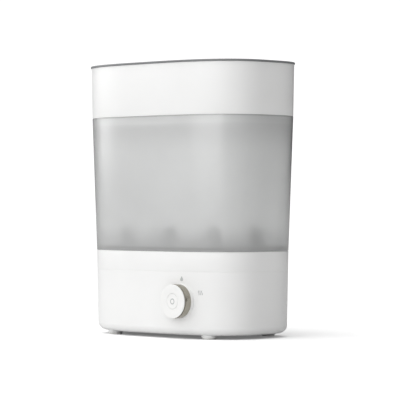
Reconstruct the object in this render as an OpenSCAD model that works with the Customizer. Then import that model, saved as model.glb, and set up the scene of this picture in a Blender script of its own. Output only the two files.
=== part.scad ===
// Bottle sterilizer and dryer with two stacked baskets, a steam plate and a hot-air blower.
// Front faces -Y, +Z is up, the origin is at the centre of the footprint on the surface.

/* [Body] */
// Length of the lid rim, left to right
body_l = 290; // [280:1:300]
// Depth of the lid rim, front to back
body_d = 176.2; // [172:0.2:182]
// Squareness of the oval outline (2 is an ellipse)
squareness = 3.07; // [2.9:0.01:3.2]
// Thickness of the casing walls
wall = 2.4; // [2:0.1:2.8]
// Thickness of the basket walls
basket_wall = 2.2; // [1.8:0.1:2.4]
// Radius of the rounded lower edge
edge_r = 19; // [17:0.5:20]

/* [Heights] */
// Gap under the base
foot_h = 5; // [4.5:0.5:6]
// Height of the lower casing
housing_h = 80.5; // [80:0.5:84]
// Height of the upper casing, which holds the water tray
collar_h = 25.4; // [25:0.2:28]
// Visible height of the large basket
large_h = 173.5; // [160:0.5:190]
// Visible height of the small basket
small_h = 66.6; // [60:0.2:80]
// Thickness of the lid rim
lid_t = 2.7; // [2.5:0.1:3.5]

/* [Knob] */
// Diameter of the knob
knob_d = 43.5; // [42:0.5:44]
// How far the knob stands out from its seat
knob_out = 12.2; // [12:0.2:13]
// Distance of the knob to the right of the centre
knob_x = 58; // [56:1:60]
// Height of the knob's axis above the underside
knob_up = 43.3; // [42:0.1:44]

/* [Steam plate] */
// Radius of the heating plate
plate_r = 58; // [57:1:59]
// Distance of the plate to the left of the centre
plate_left = 40; // [38:1:42]

/* [Quality] */
// Points around the oval outline
sides = 72; // [64:4:96]

/* [Hidden] */
$fn = 48;

// Heights of the joints between the stacked parts
seam_z = foot_h + housing_h;
collar_z = seam_z + collar_h;
band_z = collar_z + large_h;
rim_z = band_z + small_h;
top_z = rim_z + lid_t;

// Outline size at each height, as a share of the lid rim
taper_table = [
    [foot_h + edge_r, 0.925], [seam_z, 0.934], [collar_z, 0.938], [band_z, 0.984], [rim_z, 0.993],
];

// Gap between a part that lifts off and its neighbour
lift_gap = 0.5;
// Gap between fixed parts that fit together
fit_gap = 0.3;
// Overlap of a skirt with the part below it
band_skirt = 14.5;
collar_skirt = 8;
lid_skirt = 7;

// Large basket
large_floor_z = collar_z + 2.5;
floor_t = 2.4;
// Small basket
small_floor_z = band_z - band_skirt;

// Water tray and steam plate
tray_z = collar_z - 14.9;
tray_t = 2.4;
plate_x = -plate_left;
well_r = plate_r + 2;
plate_t = 2;
plate_top_z = tray_z - 8.4;
gasket_t = 1.2;
flange_z = plate_top_z - plate_t - gasket_t;
flange_t = 2.4;
element_r = 4;
element_path_r = 34;
boss_path_r = 48;
plate_screw_angles = [60, 180, 300];

// Knob
knob_z = foot_h + knob_up;
knob_r = knob_d / 2;
seat_y = -80.8;
face_y = seat_y - fit_gap - knob_out;
seat_r = knob_r + 0.7;
ring_t = 0.8;
button_r = 9.6;
stem_r = 2.4;
rotor_r = 7.5;

// Control board
board_y = -62;
board_t = 1.6;
board_x = [20, 96];
board_z = [20, 80];
board_holes = [for (x = [25, 91]) for (z = [25, 75]) [x, z]];
// Mode symbols: sterilise above the knob, dry to its right
icons = [[61.5, knob_z + 28.7], [88.9, knob_z + 11.1]];
lens_r = 2.6;

// Screw posts of the base and the feet
post_at = [for (x = [-96, 96]) for (y = [-36, 36]) [x, y]];
foot_at = [[-86, -55], [86, -55], [-86, 55], [86, 55]];
foot_r = 10.2;
rubber_r = 8.6;
rubber_t = 2;
cover_t = 2.4;
cover_inset = edge_r + 2;
cover_top = foot_h + cover_t;

// Blower and air duct
blower_x = 44;
blower_z = 40;
scroll_r = 28;
blower_wall = 2;
ear_path_r = scroll_r + 1;
ear_angles = [-60, 120, 200];
blower_y = [30, 56];
outlet_w = 24;
outlet_x = blower_x + scroll_r - outlet_w / 2;
outlet_y = (blower_y[0] + blower_y[1]) / 2;
outlet_d = blower_y[1] - blower_y[0] - 2;
outlet_top_z = 68;
heater_h = 11.6;
duct_z = tray_z - tray_t;
chimney_wall = 2;
chimney_top = tray_z + 6;

// Air filter in the back wall
filter_x = blower_x - 8;
filter_w = 56;
filter_h = 44;
filter_y = 61;

// Cord gland and power board
gland_x = -70;
gland_z = 30;
gland_bore_r = 3.6;
gland_r = 6;
gland_flange_r = 9;
gland_y = 77.4;
gland_sleeve = 12;
pcb_x = [-88, -44];
pcb_y = [14, 58];
pcb_z = 13;

// ---------- shared shapes ----------

function taper(z) = lookup(z, taper_table);

// One closed oval outline: s scales the lid rim and inset moves it inward
function oval(s, inset) = [
    for (i = [0 : sides - 1])
        let (
            t = 360 * i / sides,
            c = cos(t),
            d = sin(t),
            reach = pow(pow(abs(c), squareness) + pow(abs(d), squareness), -1 / squareness)
        )
        [(body_l / 2 * s - inset) * c * reach, (body_d / 2 * s - inset) * d * reach]
];

// Distance of the outline from the X axis at x, at height z, moved inward by inset
function half_depth(x, z, inset) =
    (body_d / 2 * taper(z) - inset)
    * pow(1 - pow(abs(x) / (body_l / 2 * taper(z) - inset), squareness), 1 / squareness);

// Solid through oval outlines, each level as [height, scale, inset]
module oval_stack(levels) {
    last = len(levels) - 1;
    points = [for (l = levels) for (p = oval(l[1], l[2])) [p[0], p[1], l[0]]];
    skin = [
        for (j = [0 : last - 1]) for (i = [0 : sides - 1])
            let (a = j * sides + i, b = j * sides + (i + 1) % sides)
            each [[a, a + sides, b + sides], [a, b + sides, b]]
    ];
    bottom = [[for (i = [0 : sides - 1]) i]];
    top = [[for (i = [sides - 1 : -1 : 0]) last * sides + i]];
    polyhedron(points = points, faces = concat(bottom, skin, top), convexity = 6);
}

// Oval wall or plug that follows the body's taper from z0 to z1
module oval_wall(z0, z1, inset) {
    middle = [for (m = taper_table) if (m[0] > z0 + 1 && m[0] < z1 - 1) [m[0], m[1], inset]];
    oval_stack(concat([[z0, taper(z0), inset]], middle, [[z1, taper(z1), inset]]));
}

// Outside of the base below the seam, moved inward by t and ending over above the seam
module base_form(t, over = 0) {
    r = edge_r - t;
    steps = 6;
    s = taper(foot_h + edge_r);
    arc = [
        for (i = [0 : steps])
            let (w = 90 * i / steps)
            [foot_h + edge_r - r * cos(w), s, edge_r - r * sin(w)]
    ];
    oval_stack(concat(arc, [[seam_z + over, taper(seam_z), t]]));
}

// Flat plate with the oval outline
module oval_plate(z, h, s, inset) {
    translate([0, 0, z])
        linear_extrude(h)
            polygon(oval(s, inset));
}

// Slot with round ends, l long and w wide, along X
module slot(l, w) {
    square([l - w, w], center = true);
    for (side = [-1, 1])
        translate([side * (l - w) / 2, 0])
            circle(d = w, $fn = 24);
}

// Cylinder along Y from y0 to y1 about a point on the front
module rod_y(x, z, r, y0, y1) {
    translate([x, y1, z])
        rotate([90, 0, 0])
            cylinder(r = r, h = y1 - y0);
}

// Box between two corners
module block(low, high) {
    translate(low)
        cube(high - low);
}

// ---------- lid and baskets ----------

grip_l = 118;
grip_w = 54;
grip_depth = 15;
grip_bar = 24;

module lid() {
    well_z = rim_z + lid_t - grip_depth;
    color("#82868a")
    difference() {
        union() {
            oval_plate(rim_z, lid_t, 1, 0);
            difference() {
                oval_wall(rim_z - lid_skirt, rim_z + 0.5, basket_wall + lift_gap);
                oval_wall(rim_z - lid_skirt - 1, rim_z + 1, basket_wall + lift_gap + 2);
            }
            translate([0, 0, well_z - 2])
                linear_extrude(grip_depth)
                    slot(grip_l + 4, grip_w + 4);
        }
        // Shallow dish that leaves a raised rim
        oval_plate(top_z - 0.8, 1, 1, 5);
        // Finger wells on both sides of the grip bar
        translate([0, 0, well_z])
            linear_extrude(grip_depth + 1)
                difference() {
                    slot(grip_l, grip_w);
                    square([grip_bar, grip_w + 2], center = true);
                }
        // Room under the grip bar for the fingertips
        block([-grip_bar / 2 - 1, -grip_w / 2 + 8, well_z], [grip_bar / 2 + 1, grip_w / 2 - 8, top_z - 4]);
        // Steam vents
        for (side = [-1, 1])
            for (x = [-60 : 15 : 60])
                translate([x, side * 46, rim_z - 1])
                    linear_extrude(lid_t + 2)
                        slot(9, 3);
    }
}

module small_basket() {
    skirt_inset = basket_wall + lift_gap;
    color("#f4f4f2")
    difference() {
        union() {
            oval_wall(small_floor_z, band_z + 1, skirt_inset);
            oval_wall(band_z, rim_z, 0);
        }
        oval_wall(small_floor_z + basket_wall, band_z + 3, skirt_inset + 2);
        oval_wall(band_z + 2.2, rim_z + 1, basket_wall);
        // Drain and steam slots in the floor
        for (x = [-96 : 16 : 96])
            for (y = [-26, 26])
                translate([x, y, small_floor_z - 1])
                    linear_extrude(basket_wall + 2)
                        rotate(90)
                            slot(38, 5);
    }
}

module large_basket() {
    color([0.72, 0.74, 0.74, 0.6])
    difference() {
        union() {
            oval_wall(collar_z, band_z, 0);
            oval_wall(collar_z - collar_skirt, collar_z + 1, wall + lift_gap);
        }
        oval_wall(large_floor_z + floor_t, band_z + 1, basket_wall);
        oval_wall(collar_z - collar_skirt - 1, large_floor_z, wall + lift_gap + 2);
        // Steam slots in the floor
        for (x = [-100 : 20 : 100])
            for (y = [-20, 20])
                translate([x, y, large_floor_z - 1])
                    linear_extrude(floor_t + 2)
                        rotate(90)
                            slot(30, 6);
    }
}

rack_x = [-80, 0, 80];
rack_y = [-38, 38];
peg_h = 22;

// Cross-shaped peg that holds an upturned bottle off the floor
module bottle_peg() {
    fin = 20;
    for (turn = [0, 90])
        rotate(turn)
            translate([-fin / 2, -1.25, 0])
                cube([fin, 2.5, peg_h]);
    cylinder(r = 4, h = peg_h + 4, $fn = 32);
}

module bottle_rack() {
    base_z = large_floor_z + floor_t;
    bar_t = 3;
    color("#8b9090") {
        for (x = rack_x)
            for (y = rack_y)
                translate([x, y, base_z])
                    bottle_peg();
        for (y = rack_y)
            block([-104, y - 4, base_z], [104, y + 4, base_z + bar_t]);
        for (x = rack_x)
            block([x - 4, -58, base_z], [x + 4, 58, base_z + bar_t]);
    }
}

// ---------- casings ----------

module base_collar() {
    tongue = wall + fit_gap;
    tongue_h = 5;
    well_wall = 2.4;
    color("#f6f6f4")
    difference() {
        union() {
            difference() {
                oval_wall(seam_z, collar_z, 0);
                oval_wall(seam_z - 1, collar_z + 1, wall);
            }
            // Tongue that locates the lower casing
            difference() {
                oval_wall(seam_z - tongue_h, seam_z + 4, tongue);
                oval_wall(seam_z - tongue_h - 1, seam_z + 5, tongue + 2);
            }
            // Foot of the tongue where it joins the wall
            difference() {
                oval_wall(seam_z, seam_z + 4, wall - 0.5);
                oval_wall(seam_z - 1, seam_z + 5, tongue + 2);
            }
            oval_plate(tray_z - tray_t, tray_t, taper(tray_z), wall - 0.5);
            // Well of the steam plate
            translate([plate_x, 0, flange_z - flange_t])
                cylinder(r = well_r + well_wall, h = tray_z - flange_z + flange_t);
            // Air chimney
            block(
                [outlet_x - outlet_w / 2 - chimney_wall, outlet_y - outlet_d / 2 - chimney_wall, duct_z],
                [outlet_x + outlet_w / 2 + chimney_wall, outlet_y + outlet_d / 2 + chimney_wall, chimney_top]
            );
            // Screw posts
            for (p = post_at)
                translate([p[0], p[1], cover_top])
                    cylinder(r = 4.5, h = tray_z - tray_t - cover_top + 1);
        }
        translate([plate_x, 0, flange_z])
            cylinder(r = well_r, h = 40);
        translate([plate_x, 0, flange_z - flange_t - 1])
            cylinder(r = well_r - 7, h = 10);
        block(
            [outlet_x - outlet_w / 2 + chimney_wall, outlet_y - outlet_d / 2 + chimney_wall, duct_z - 1],
            [outlet_x + outlet_w / 2 - chimney_wall, outlet_y + outlet_d / 2 - chimney_wall, chimney_top + 1]
        );
        for (p = post_at)
            translate([p[0], p[1], cover_top - 1])
                cylinder(r = 1.5, h = 20);
    }
}

module base_housing() {
    // Filter pocket in the back wall
    module pocket(grow, y0) {
        block(
            [filter_x - filter_w / 2 - grow, y0, blower_z - filter_h / 2 - grow],
            [filter_x + filter_w / 2 + grow, 90, blower_z + filter_h / 2 + grow]
        );
    }
    color("#f6f6f4")
    difference() {
        union() {
            difference() {
                union() {
                    base_form(0);
                    rod_y(knob_x, knob_z, seat_r, seat_y, -70);
                    rod_y(gland_x, gland_z, gland_flange_r + 1.5, 70, gland_y);
                }
                base_form(wall, 2);
                oval_plate(foot_h - 1, wall + 2, taper(foot_h + edge_r), cover_inset);
            }
            // Moulded foot pads
            for (p = foot_at)
                translate([p[0], p[1], rubber_t])
                    cylinder(r = foot_r, h = foot_h + 7 - rubber_t);
            // Walls of the filter pocket
            intersection() {
                pocket(wall, filter_y);
                base_form(wall / 2);
            }
            // Standoffs of the control board
            for (h = board_holes)
                rod_y(h[0], h[1], 3, -half_depth(h[0], h[1], wall * 0.75), board_y);
        }
        // Flat seats of the knob and the gland
        rod_y(knob_x, knob_z, seat_r, -100, seat_y);
        rod_y(gland_x, gland_z, gland_flange_r + 0.5, gland_y, 100);
        // Hollow behind the knob seat, and the hole for the knob's tube
        rod_y(knob_x, knob_z, seat_r - 3, seat_y + 2.6, -66);
        rod_y(knob_x, knob_z, rotor_r + 0.4, -100, -60);
        rod_y(gland_x, gland_z, gland_r, 60, 100);
        // Sockets of the rubber feet
        for (p = foot_at)
            translate([p[0], p[1], 0])
                cylinder(r = 3, h = 8, $fn = 32);
        // Windows of the mode symbols
        for (p = icons)
            rod_y(p[0], p[1], lens_r, -100, -60);
        // Board screw holes
        for (h = board_holes)
            rod_y(h[0], h[1], 1.2, board_y - 6, -60);
        pocket(0, filter_y - 1);
    }
}

module bottom_cover() {
    color("#d9dbdc")
    difference() {
        oval_plate(foot_h, cover_t, taper(foot_h + edge_r), cover_inset + fit_gap);
        for (p = foot_at)
            translate([p[0], p[1], foot_h - 1])
                cylinder(r = foot_r + fit_gap, h = cover_t + 2);
        for (p = post_at)
            translate([p[0], p[1], foot_h - 1]) {
                cylinder(r = 1.9, h = cover_t + 2);
                cylinder(r = 3.6, h = 2.2);
            }
        // Cooling slots
        for (x = [-70 : 10 : 70])
            for (y = [-30, 0, 30])
                translate([x, y, foot_h - 1])
                    linear_extrude(cover_t + 2)
                        rotate(90)
                            slot(20, 3);
    }
}

module cover_screws() {
    color("#9a9c9e")
    for (p = post_at)
        translate([p[0], p[1], foot_h + 0.2]) {
            cylinder(r = 3.2, h = 1);
            cylinder(r = 1.5, h = 16);
        }
}

module foot(i) {
    color("#e9e9e6")
    translate([foot_at[i][0], foot_at[i][1], 0]) {
        cylinder(r = rubber_r, h = rubber_t);
        cylinder(r = 2.9, h = 7, $fn = 32);
    }
}

module foot_front_left() {
    foot(0);
}

module foot_front_right() {
    foot(1);
}

module foot_back_left() {
    foot(2);
}

module foot_back_right() {
    foot(3);
}

// ---------- steam plate ----------

// Places its children at each screw of the steam plate
module at_plate_screws() {
    for (w = plate_screw_angles)
        translate([plate_x + boss_path_r * cos(w), boss_path_r * sin(w), 0])
            children();
}

plate_low_z = plate_top_z - plate_t;
clamp_t = 2;
clamp_z = flange_z - flange_t - clamp_t;

module heating_plate() {
    color("#c9cbcc")
    difference() {
        union() {
            translate([plate_x, 0, plate_low_z])
                cylinder(r = plate_r, h = plate_t, $fn = 96);
            at_plate_screws()
                translate([0, 0, clamp_z + clamp_t])
                    cylinder(r = 3.5, h = plate_low_z - clamp_z - clamp_t + 0.5);
        }
        at_plate_screws()
            translate([0, 0, clamp_z])
                cylinder(r = 1.5, h = clamp_t + 5);
    }
}

module plate_gasket() {
    color("#b9bcbd")
    translate([plate_x, 0, flange_z])
        difference() {
            cylinder(r = well_r - 0.5, h = gasket_t);
            translate([0, 0, -1])
                cylinder(r = well_r - 6.5, h = gasket_t + 2);
        }
}

module plate_clamp() {
    color("#b4b7b9")
    difference() {
        translate([plate_x, 0, clamp_z])
            difference() {
                cylinder(r = well_r - 2, h = clamp_t);
                translate([0, 0, -1])
                    cylinder(r = boss_path_r - 5, h = clamp_t + 2);
            }
        at_plate_screws()
            translate([0, 0, clamp_z - 1])
                cylinder(r = 1.9, h = clamp_t + 2);
    }
}

module plate_screws() {
    color("#9a9c9e")
    at_plate_screws() {
        translate([0, 0, clamp_z - 2])
            cylinder(r = 3.2, h = 2);
        translate([0, 0, clamp_z - 1])
            cylinder(r = 1.5, h = clamp_t + 5);
    }
}

module heating_element() {
    sweep_deg = 310;
    tail_h = 12;
    color("#8e9194")
    translate([plate_x, 0, plate_low_z - element_r]) {
        rotate([0, 0, 25])
            rotate_extrude(angle = sweep_deg)
                translate([element_path_r, 0])
                    circle(r = element_r, $fn = 24);
        for (w = [25, 25 + sweep_deg])
            rotate([0, 0, w])
                translate([element_path_r, 0, -tail_h])
                    cylinder(r = 2, h = tail_h, $fn = 24);
    }
}

module thermostat() {
    body_h = 8;
    color("#4c4f52")
    translate([plate_x, 0, plate_low_z - body_h]) {
        cylinder(r = 9, h = body_h);
        for (side = [-1, 1])
            translate([side * 5 - 0.4, -3.2, -8])
                cube([0.8, 6.4, 9]);
    }
}

module thermal_fuse() {
    color("#d8cfc0")
    translate([plate_x, 19, plate_low_z - 2.2]) {
        rotate([0, 90, 0])
            cylinder(r = 2.2, h = 14, center = true, $fn = 24);
        rotate([0, 90, 0])
            cylinder(r = 0.6, h = 34, center = true, $fn = 16);
    }
}

// ---------- knob and controls ----------

module knob_ring() {
    color("#a8a498")
    difference() {
        rod_y(knob_x, knob_z, knob_r, face_y, seat_y - fit_gap);
        rod_y(knob_x, knob_z, knob_r - ring_t, face_y - 1, face_y + 2.4);
        rod_y(knob_x, knob_z, knob_r - ring_t - 1.6, face_y, seat_y + 1);
    }
}

module knob_face() {
    inner_r = knob_r - ring_t - 1.7;
    web_y = seat_y - 4.5;
    color("#f7f7f4")
    difference() {
        union() {
            rod_y(knob_x, knob_z, knob_r - ring_t - 0.05, face_y, face_y + 2.2);
            rod_y(knob_x, knob_z, inner_r, face_y + 1, web_y + 2);
            rod_y(knob_x, knob_z, rotor_r, web_y, board_y - 7);
        }
        rod_y(knob_x, knob_z, button_r + 0.3, face_y - 1, web_y);
        rod_y(knob_x, knob_z, rotor_r - 2, web_y - 1, board_y);
    }
}

module start_button() {
    cap_t = 2.6;
    color("#f7f7f4") {
        rod_y(knob_x, knob_z, button_r, face_y, face_y + cap_t);
        rod_y(knob_x, knob_z, stem_r, face_y + cap_t - 0.5, board_y - 4.2);
    }
}

spring_r = 3.6;
spring_wire = 0.35;
spring_y = [face_y + 2.6, seat_y - 3.4];

// Coil spring between the button and the fixed tube behind it
module button_spring() {
    turns = 4;
    steps = 14;
    ring = 6;
    count = turns * steps;
    length = spring_y[1] - spring_y[0] - 2 * spring_wire;
    points = [
        for (j = [0 : count]) for (i = [0 : ring - 1])
            let (
                w = 360 * j / steps,
                v = 360 * i / ring,
                r = spring_r + spring_wire * cos(v)
            )
            [r * cos(w), spring_y[0] + spring_wire * (1 + sin(v)) + length * j / count, r * sin(w)]
    ];
    skin = [
        for (j = [0 : count - 1]) for (i = [0 : ring - 1])
            let (a = j * ring + i, b = j * ring + (i + 1) % ring)
            each [[a, a + ring, b + ring], [a, b + ring, b]]
    ];
    first = [[for (i = [0 : ring - 1]) i]];
    end = [[for (i = [ring - 1 : -1 : 0]) count * ring + i]];
    color("#b7babd")
    translate([knob_x, 0, knob_z])
        polyhedron(points = points, faces = concat(first, skin, end), convexity = 8);
}

module rotary_encoder() {
    tube_front = seat_y - 3.4;
    switch_y = board_y - 3;
    color("#50565a")
    difference() {
        union() {
            block([knob_x - 12, board_y - 14, knob_z - 12], [knob_x + 12, board_y, knob_z + 12]);
            rod_y(knob_x, knob_z, rotor_r - 2.3, tube_front, switch_y);
        }
        // Ring gap that the knob's tube turns in
        difference() {
            rod_y(knob_x, knob_z, rotor_r + 0.15, board_y - 15, board_y - 5);
            rod_y(knob_x, knob_z, rotor_r - 2.3, board_y - 16, board_y - 4);
        }
        rod_y(knob_x, knob_z, stem_r + 0.15, tube_front - 1, switch_y + 1);
        // Room for the push switch
        block([knob_x - 4, switch_y, knob_z - 4], [knob_x + 4, board_y + 1, knob_z + 4]);
    }
}

module start_switch() {
    color("#303336") {
        block([knob_x - 3.2, board_y - 2.6, knob_z - 3.2], [knob_x + 3.2, board_y, knob_z + 3.2]);
        rod_y(knob_x, knob_z, 1.6, board_y - 2.7, board_y - 1);
    }
}

module control_board() {
    color("#3f7a5a")
    difference() {
        block([board_x[0], board_y, board_z[0]], [board_x[1], board_y + board_t, board_z[1]]);
        for (h = board_holes)
            rod_y(h[0], h[1], 1.6, board_y - 1, board_y + board_t + 1);
    }
}

module board_screws() {
    color("#9a9c9e")
    for (h = board_holes) {
        rod_y(h[0], h[1], 2.6, board_y + board_t, board_y + board_t + 1.6);
        rod_y(h[0], h[1], 1.2, board_y - 5, board_y + board_t + 1);
    }
}

module icon_lenses() {
    color("#b8bcbe")
    for (p = icons)
        intersection() {
            rod_y(p[0], p[1], lens_r - 0.05, -90, -70);
            base_form(0);
        }
}

module indicator_leds() {
    led_r = 2.2;
    led_h = 4;
    color("#e8ecef")
    for (p = icons) {
        rod_y(p[0], p[1], led_r, board_y - led_h, board_y);
        translate([p[0], board_y - led_h, p[1]])
            sphere(r = led_r, $fn = 32);
    }
}

// ---------- blower and air path ----------

// Places its children at each screw ear around the scroll
module at_ears() {
    for (w = ear_angles)
        translate([blower_x + ear_path_r * sin(w), 0, blower_z + ear_path_r * cos(w)])
            children();
}

module blower_housing() {
    front = blower_y[0];
    back = blower_y[1];
    t = blower_wall;
    left = outlet_x - outlet_w / 2;
    right = outlet_x + outlet_w / 2;
    color("#6b7074")
    difference() {
        union() {
            rod_y(blower_x, blower_z, scroll_r, front, back);
            block([left, front, blower_z], [right, back, outlet_top_z]);
            // Pedestal on the bottom cover
            block([blower_x - 20, front + 4, cover_top], [blower_x + 20, back - 4, cover_top + 7]);
            // Ears for the cover screws
            at_ears()
                rod_y(0, 0, 3.5, front, back);
        }
        rod_y(blower_x, blower_z, scroll_r - t, front + t, back + 1);
        block([left + t, front + t, blower_z], [right - t, back - t, outlet_top_z + 1]);
        rod_y(blower_x, blower_z, 4, front - 1, front + t + 1);
        at_ears()
            rod_y(0, 0, 1.2, back - 9, back + 1);
    }
}

module blower_cover() {
    t = 2;
    back = blower_y[1];
    color("#7a7f83")
    difference() {
        union() {
            rod_y(blower_x, blower_z, scroll_r, back, back + t);
            at_ears()
                rod_y(0, 0, 3.5, back, back + t);
        }
        rod_y(blower_x, blower_z, 14, back - 1, back + t + 1);
        at_ears()
            rod_y(0, 0, 1.5, back - 1, back + t + 1);
    }
}

module blower_screws() {
    back = blower_y[1] + 2;
    color("#9a9c9e")
    at_ears() {
        rod_y(0, 0, 2.6, back, back + 1.6);
        rod_y(0, 0, 1.2, back - 9, back + 1);
    }
}

motor_shaft_r = 1.5;

module blower_motor() {
    front = blower_y[0];
    color("#9ea3a7") {
        rod_y(blower_x, blower_z, 12, front - 22, front);
        rod_y(blower_x, blower_z, 3.5, front - 25, front - 21);
        rod_y(blower_x, blower_z, motor_shaft_r, front - 1, front + 20);
    }
}

module impeller() {
    blades = 24;
    rim_r = 22;
    plate_y = blower_y[0] + 4;
    blade_h = 15;
    color("#2f3336")
    difference() {
        union() {
            rod_y(blower_x, blower_z, rim_r, plate_y, plate_y + 1.6);
            rod_y(blower_x, blower_z, 5, plate_y, plate_y + 12);
            for (i = [0 : blades - 1])
                translate([blower_x, plate_y + 1.4, blower_z])
                    rotate([0, 360 * i / blades, 0])
                        translate([rim_r - 6, 0, -0.5])
                            rotate([0, 35, 0])
                                cube([5, blade_h, 1]);
            difference() {
                rod_y(blower_x, blower_z, rim_r, plate_y + blade_h, plate_y + blade_h + 2);
                rod_y(blower_x, blower_z, rim_r - 6, plate_y + blade_h - 1, plate_y + blade_h + 3);
            }
        }
        rod_y(blower_x, blower_z, motor_shaft_r + 0.05, plate_y - 1, plate_y + 20);
    }
}

// Frame that fills the air duct, from the outlet's outside to its inside
module duct_frame(z0, z1, wall_in) {
    difference() {
        block(
            [outlet_x - outlet_w / 2, outlet_y - outlet_d / 2, z0],
            [outlet_x + outlet_w / 2, outlet_y + outlet_d / 2, z1]
        );
        block(
            [outlet_x - outlet_w / 2 + wall_in, outlet_y - outlet_d / 2 + wall_in, z0 - 1],
            [outlet_x + outlet_w / 2 - wall_in, outlet_y + outlet_d / 2 - wall_in, z1 + 1]
        );
    }
}

module air_heater() {
    z0 = outlet_top_z + 0.2;
    color("#d9d2c2") {
        duct_frame(z0, z0 + heater_h, 3);
        // Heating fins across the air stream
        for (i = [1 : 5])
            block(
                [outlet_x - outlet_w / 2 + 3 * i + 2.4, outlet_y - outlet_d / 2 + 2, z0 + 1],
                [outlet_x - outlet_w / 2 + 3 * i + 3.6, outlet_y + outlet_d / 2 - 2, z0 + heater_h - 1]
            );
    }
}

module duct_seal() {
    color("#c7553f")
    duct_frame(outlet_top_z + 0.2 + heater_h, duct_z, chimney_wall);
}

module outlet_grille() {
    z0 = chimney_top;
    color("#e6e7e6")
    difference() {
        union() {
            block(
                [outlet_x - outlet_w / 2 - 3, outlet_y - outlet_d / 2 - 3, z0],
                [outlet_x + outlet_w / 2 + 3, outlet_y + outlet_d / 2 + 3, z0 + 2]
            );
            block(
                [outlet_x - outlet_w / 2 + 2.3, outlet_y - outlet_d / 2 + 2.3, z0 - 4],
                [outlet_x + outlet_w / 2 - 2.3, outlet_y + outlet_d / 2 - 2.3, z0 + 1]
            );
        }
        block(
            [outlet_x - outlet_w / 2 + 3.6, outlet_y - outlet_d / 2 + 3.6, z0 - 5],
            [outlet_x + outlet_w / 2 - 3.6, outlet_y + outlet_d / 2 - 3.6, z0 + 0.4]
        );
        for (i = [-2 : 2])
            translate([outlet_x, outlet_y + 3.4 * i, z0 - 1])
                linear_extrude(4)
                    slot(15, 2);
    }
}

module filter_cover() {
    gap = fit_gap;
    low = blower_z - filter_h / 2 + gap;
    high = blower_z + filter_h / 2 - gap;
    left = filter_x - filter_w / 2 + gap;
    right = filter_x + filter_w / 2 - gap;
    t = 1.6;
    color("#f6f6f4")
    difference() {
        intersection() {
            block([left, filter_y + 1, low], [right, 90, high]);
            base_form(0);
        }
        // Room for the filter, and the hollow behind the louvres
        block([left + t, filter_y, low + t], [right - t, filter_y + 14, high - t]);
        for (i = [-4 : 4])
            block([left + 8, filter_y + 10, blower_z + 4 * i - 1], [right - 8, 90, blower_z + 4 * i + 1]);
    }
}

module air_filter() {
    gap = fit_gap + 1.6;
    color("#c9d3da")
    block(
        [filter_x - filter_w / 2 + gap, filter_y + 1.4, blower_z - filter_h / 2 + gap],
        [filter_x + filter_w / 2 - gap, filter_y + 9, blower_z + filter_h / 2 - gap]
    );
}

// ---------- mains side ----------

module cord_gland() {
    color("#e3e4e3")
    difference() {
        union() {
            rod_y(gland_x, gland_z, gland_flange_r, gland_y, gland_y + 2.4);
            rod_y(gland_x, gland_z, gland_r - 0.4, gland_y, gland_y + gland_sleeve);
            rod_y(gland_x, gland_z, gland_r - 0.05, gland_y - 9, gland_y + 1);
            rod_y(gland_x, gland_z, gland_r + 1.4, gland_y - 9, gland_y - 6);
        }
        // Close fit on the lead outside the wall, and a wider run inside it
        rod_y(gland_x, gland_z, gland_bore_r, gland_y, gland_y + gland_sleeve + 1);
        rod_y(gland_x, gland_z, gland_bore_r + 0.8, gland_y - 10, gland_y + 2.8);
    }
}

module power_board() {
    color("#3f7a5a") {
        block([pcb_x[0], pcb_y[0], pcb_z], [pcb_x[1], pcb_y[1], pcb_z + 1.6]);
        // Standoffs on the bottom cover
        for (x = [pcb_x[0] + 4, pcb_x[1] - 4])
            for (y = [pcb_y[0] + 4, pcb_y[1] - 18])
                translate([x, y, cover_top])
                    cylinder(r = 2.5, h = pcb_z - cover_top + 0.5, $fn = 24);
    }
}

module power_relay() {
    color("#2e5f9a")
    block([pcb_x[0] + 8, pcb_y[0] + 6, pcb_z + 1.6], [pcb_x[0] + 27, pcb_y[0] + 21, pcb_z + 17]);
}

module terminal_block() {
    ways = 3;
    pitch = 7;
    color("#3c8a55")
    difference() {
        block([pcb_x[1] - 26, pcb_y[1] - 14, pcb_z + 1.6], [pcb_x[1] - 3, pcb_y[1] - 2, pcb_z + 13]);
        for (i = [0 : ways - 1])
            translate([pcb_x[1] - 21.5 + pitch * i, pcb_y[1] - 8, pcb_z + 8])
                cylinder(r = 2, h = 8, $fn = 24);
    }
}

lid();
small_basket();
large_basket();
bottle_rack();
base_collar();
base_housing();
bottom_cover();
cover_screws();
foot_front_left();
foot_front_right();
foot_back_left();
foot_back_right();
heating_plate();
plate_gasket();
plate_clamp();
plate_screws();
heating_element();
thermostat();
thermal_fuse();
knob_ring();
knob_face();
start_button();
button_spring();
rotary_encoder();
start_switch();
control_board();
board_screws();
icon_lenses();
indicator_leds();
blower_housing();
blower_cover();
blower_screws();
blower_motor();
impeller();
air_heater();
duct_seal();
outlet_grille();
filter_cover();
air_filter();
cord_gland();
power_board();
power_relay();
terminal_block();
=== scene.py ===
import math

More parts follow.
